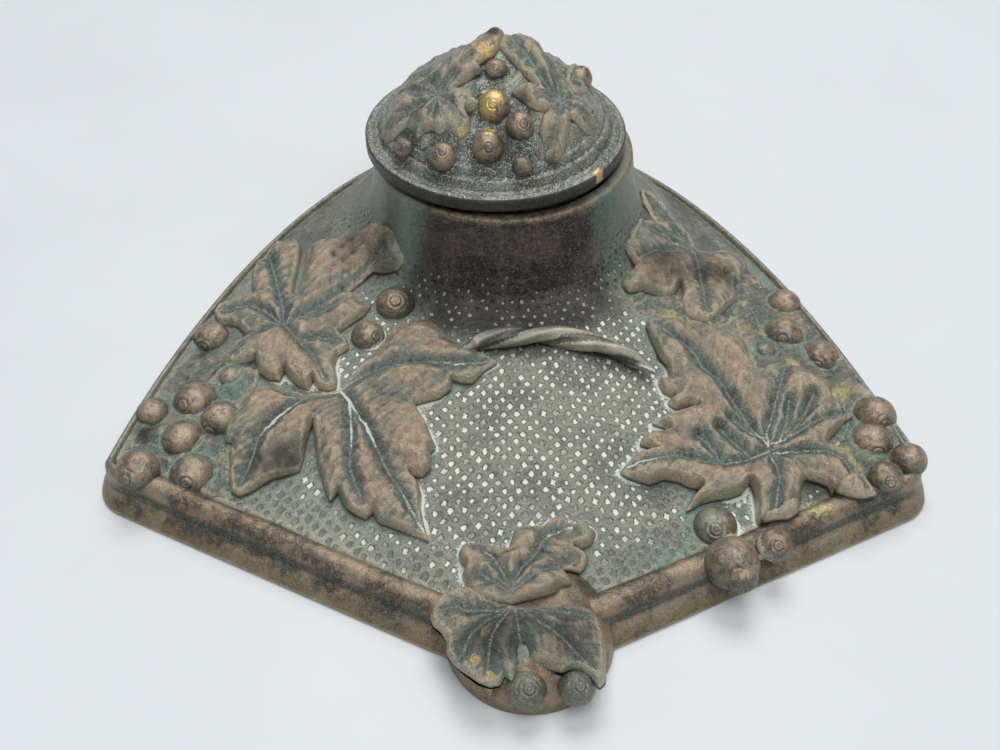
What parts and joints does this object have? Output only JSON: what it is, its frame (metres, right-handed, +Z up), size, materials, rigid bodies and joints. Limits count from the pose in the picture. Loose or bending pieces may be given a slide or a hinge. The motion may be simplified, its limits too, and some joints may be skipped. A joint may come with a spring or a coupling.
{
  "type": "desk inkstand",
  "caption": "Fan shaped bronze desk inkstand with vine leaves and grapes in relief, a round collar holding an ink pot and a domed lid hinged at the back.",
  "frame": {"origin": "on the axis of the ink pot's collar, in the plane of the table under the baize", "axes": "+Z up, -Y towards the blunt front corner of the fan, +X to the right seen from the front"},
  "size_m": [0.18, 0.1909, 0.063],
  "materials": {
    "bronze": "dark brown bronze patina with green in the hollows and worn heights",
    "brass": "dull aged brass",
    "steel": "dull steel",
    "glass": "pressed glass",
    "leather": "plain leather",
    "baize": "green baize"
  },
  "bodies": {
    "base": {"base_casting": "bronze", "ink_pot": "glass", "pot_washer": "leather", "collar_hinge_leaf": "brass", "hinge_pin": "steel", "collar_leaf_rivet_left": "brass", "collar_leaf_rivet_right": "brass", "bottom_plate": "brass", "plate_screw_1": "steel", "plate_screw_2": "steel", "plate_screw_3": "steel", "plate_screw_4": "steel", "plate_screw_5": "steel", "baize_pad": "baize"},
    "lid": {"lid_casting": "bronze", "lid_hinge_leaf": "brass", "lid_leaf_rivet_left": "brass", "lid_leaf_rivet_right": "brass"}
  },
  "joints": [
    {"name": "lid_hinge", "type": "hinge", "parent": "base", "child": "lid", "pos_m": [0, 0.0376, 0.0376], "axis": [-1, 0, 0], "range_deg": [0, 105]}
  ]
}
